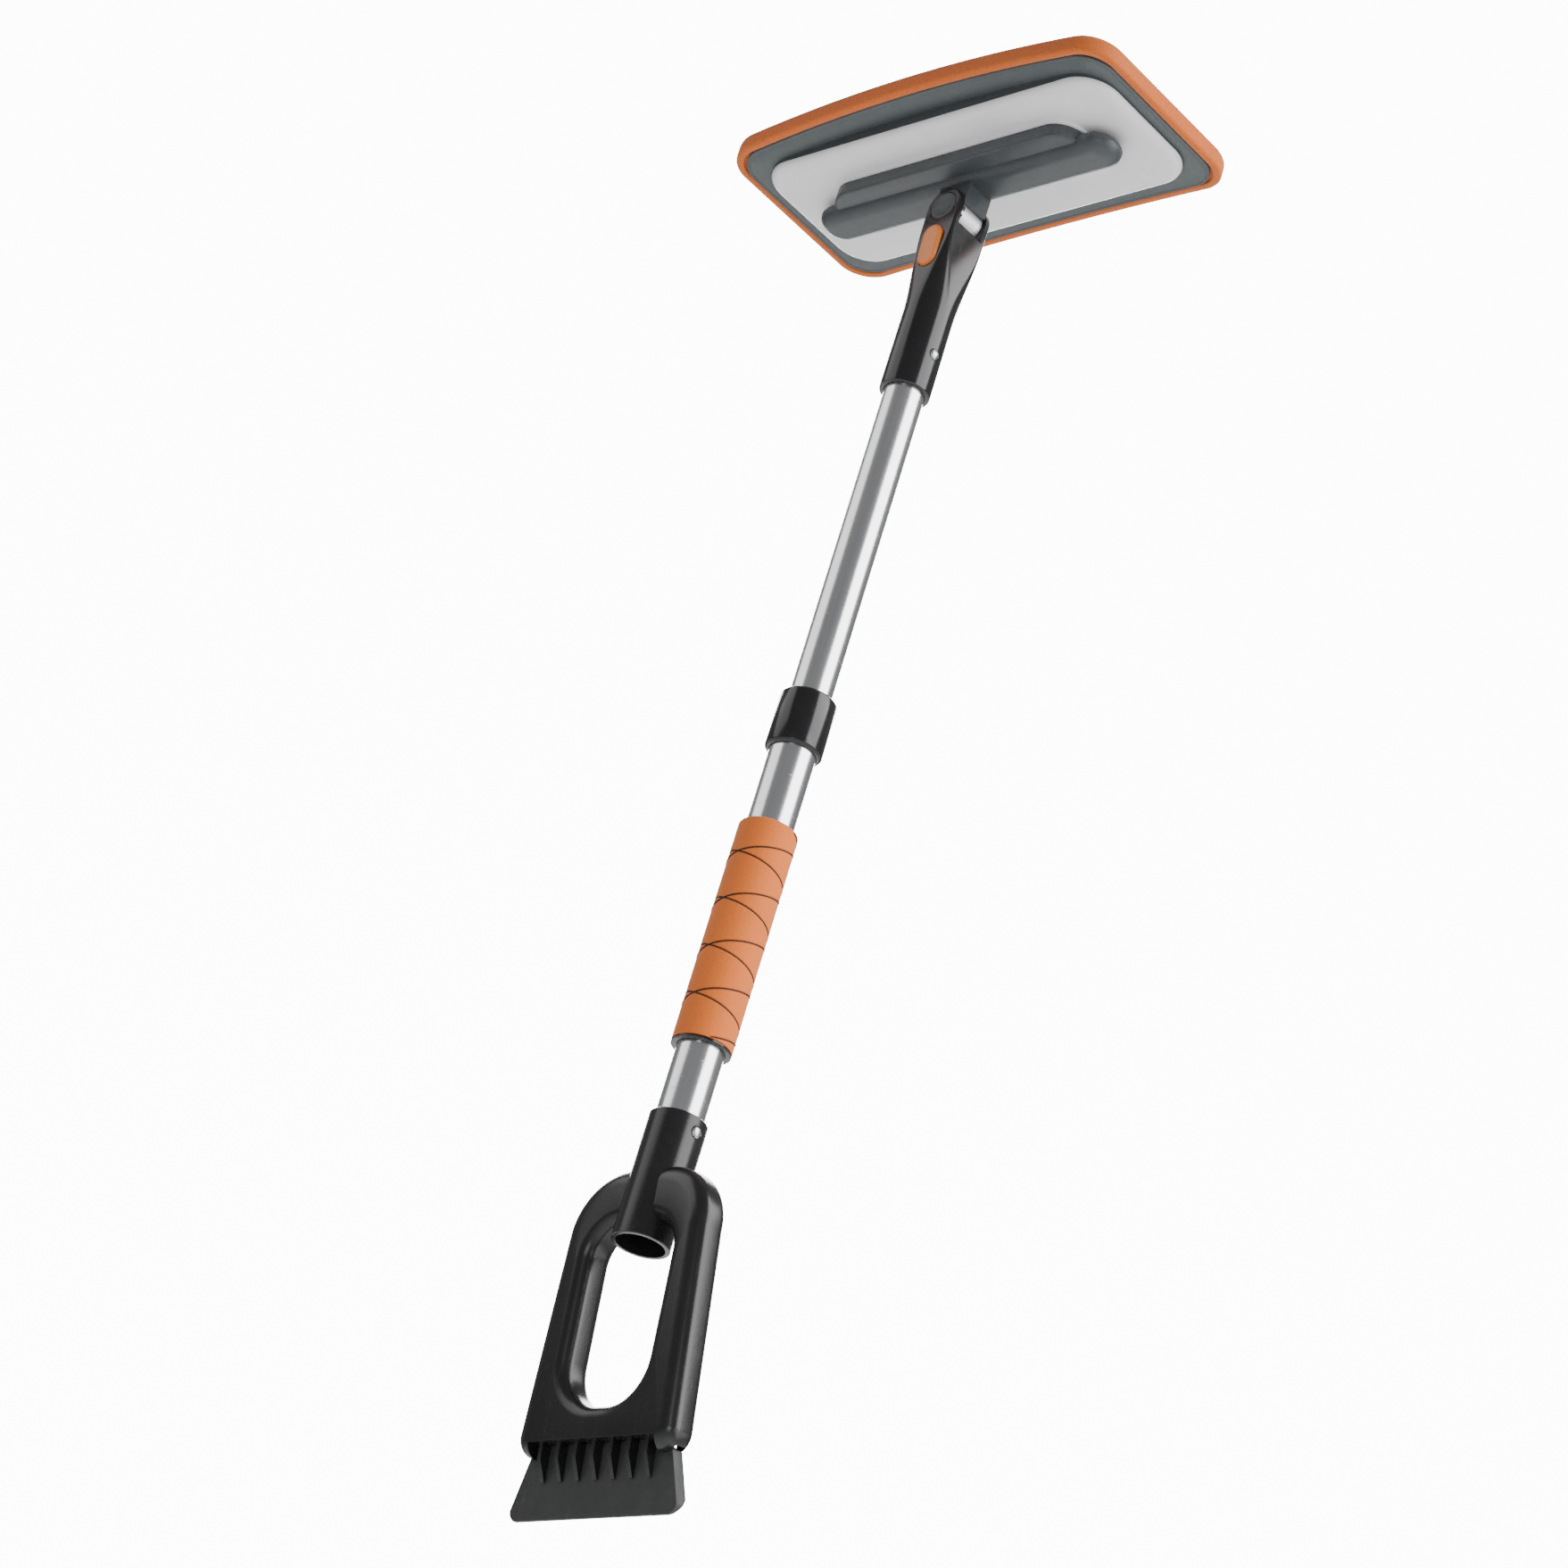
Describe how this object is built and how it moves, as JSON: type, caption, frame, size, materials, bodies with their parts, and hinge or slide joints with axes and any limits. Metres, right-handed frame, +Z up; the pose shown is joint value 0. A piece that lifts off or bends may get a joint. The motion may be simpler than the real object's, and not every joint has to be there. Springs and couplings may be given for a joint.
{
  "type": "snow brush scraper",
  "caption": "Car snow brush with a tilting foam head on a two-part telescoping pole, and an ice scraper blade below a ring-shaped hand grip.",
  "frame": {"origin": "middle of the foam grip, on the pole's axis", "axes": "+Z up the pole from the scraper to the foam head, +X along the head's long side, +Y out of the scraper's back"},
  "size_m": [0.2712, 0.132, 0.818],
  "materials": {
    "outer_tube": "fine drawn tube, satin",
    "foam_grip": "closed-cell foam sleeve with fine black spiral lines",
    "grip_end_ring": "moulded, semi-gloss",
    "collet": "plain moulded",
    "scraper_body": "moulded, glossy black",
    "blade": "matte, slightly scuffed",
    "blade_screw_1": "zinc-plated",
    "blade_screw_2": "zinc-plated",
    "blade_screw_3": "zinc-plated",
    "lower_snap_spring": "spring steel strip",
    "twist_collar": "moulded, glossy black",
    "inner_tube": "fine drawn tube, satin",
    "inner_bush": "plain moulded",
    "neck": "moulded, glossy black",
    "pivot_pin": "ground pin",
    "pivot_cap_near": "moulded, glossy black",
    "pivot_cap_far": "moulded, glossy black",
    "upper_snap_spring": "spring steel strip",
    "lock_spring": "spring steel wire",
    "foam_pad": "closed-cell foam with a fine cell texture",
    "foam_backing": "matte sheet",
    "back_plate": "silver moulded plate",
    "pivot_bracket": "moulded, fine grain",
    "index_drum": "cast zinc",
    "bracket_screw_1": "zinc-plated",
    "bracket_screw_2": "zinc-plated",
    "bracket_screw_3": "zinc-plated",
    "bracket_screw_4": "zinc-plated",
    "lock_button": "moulded orange",
    "lock_pawl": "stamped",
    "upper_snap_button": "polished dome",
    "lower_snap_button": "polished dome"
  },
  "bodies": {
    "handle": {"outer_tube": "outer_tube", "foam_grip": "foam_grip", "grip_end_ring": "grip_end_ring", "collet": "collet", "scraper_body": "scraper_body", "blade": "blade", "blade_screw_1": "blade_screw_1", "blade_screw_2": "blade_screw_2", "blade_screw_3": "blade_screw_3", "lower_snap_spring": "lower_snap_spring"},
    "collar": {"twist_collar": "twist_collar"},
    "pole": {"inner_tube": "inner_tube", "inner_bush": "inner_bush", "neck": "neck", "pivot_pin": "pivot_pin", "pivot_cap_near": "pivot_cap_near", "pivot_cap_far": "pivot_cap_far", "upper_snap_spring": "upper_snap_spring", "lock_spring": "lock_spring"},
    "head": {"foam_pad": "foam_pad", "foam_backing": "foam_backing", "back_plate": "back_plate", "pivot_bracket": "pivot_bracket", "index_drum": "index_drum", "bracket_screw_1": "bracket_screw_1", "bracket_screw_2": "bracket_screw_2", "bracket_screw_3": "bracket_screw_3", "bracket_screw_4": "bracket_screw_4"},
    "lock_button": {"lock_button": "lock_button", "lock_pawl": "lock_pawl"},
    "upper_snap": {"upper_snap_button": "upper_snap_button"},
    "lower_snap": {"lower_snap_button": "lower_snap_button"}
  },
  "joints": [
    {"name": "pole_slide", "type": "slide", "parent": "handle", "child": "pole", "axis": [0, 0, 1], "range_m": [-0.185, 0]},
    {"name": "collar_twist", "type": "hinge", "parent": "handle", "child": "collar", "pos_m": [0, 0, 0.1258], "axis": [0, 0, 1], "range_deg": [0, 90]},
    {"name": "head_tilt", "type": "hinge", "parent": "pole", "child": "head", "pos_m": [0, 0, 0.4537], "axis": [0, 1, 0], "range_deg": [-90, 90]},
    {"name": "lock_press", "type": "slide", "parent": "pole", "child": "lock_button", "axis": [0, 1, 0], "range_m": [0, 0.003], "stiffness_N_per_m": 900, "springref_m": -0.004, "deforming": ["lock_spring"]},
    {"name": "upper_snap_press", "type": "slide", "parent": "pole", "child": "upper_snap", "axis": [-1, 0, 0], "range_m": [0, 0.0044], "stiffness_N_per_m": 1200, "springref_m": -0.004, "deforming": ["upper_snap_spring"]},
    {"name": "lower_snap_press", "type": "slide", "parent": "handle", "child": "lower_snap", "axis": [-1, 0, 0], "range_m": [0, 0.0044], "stiffness_N_per_m": 1200, "springref_m": -0.004, "deforming": ["lower_snap_spring"]}
  ]
}
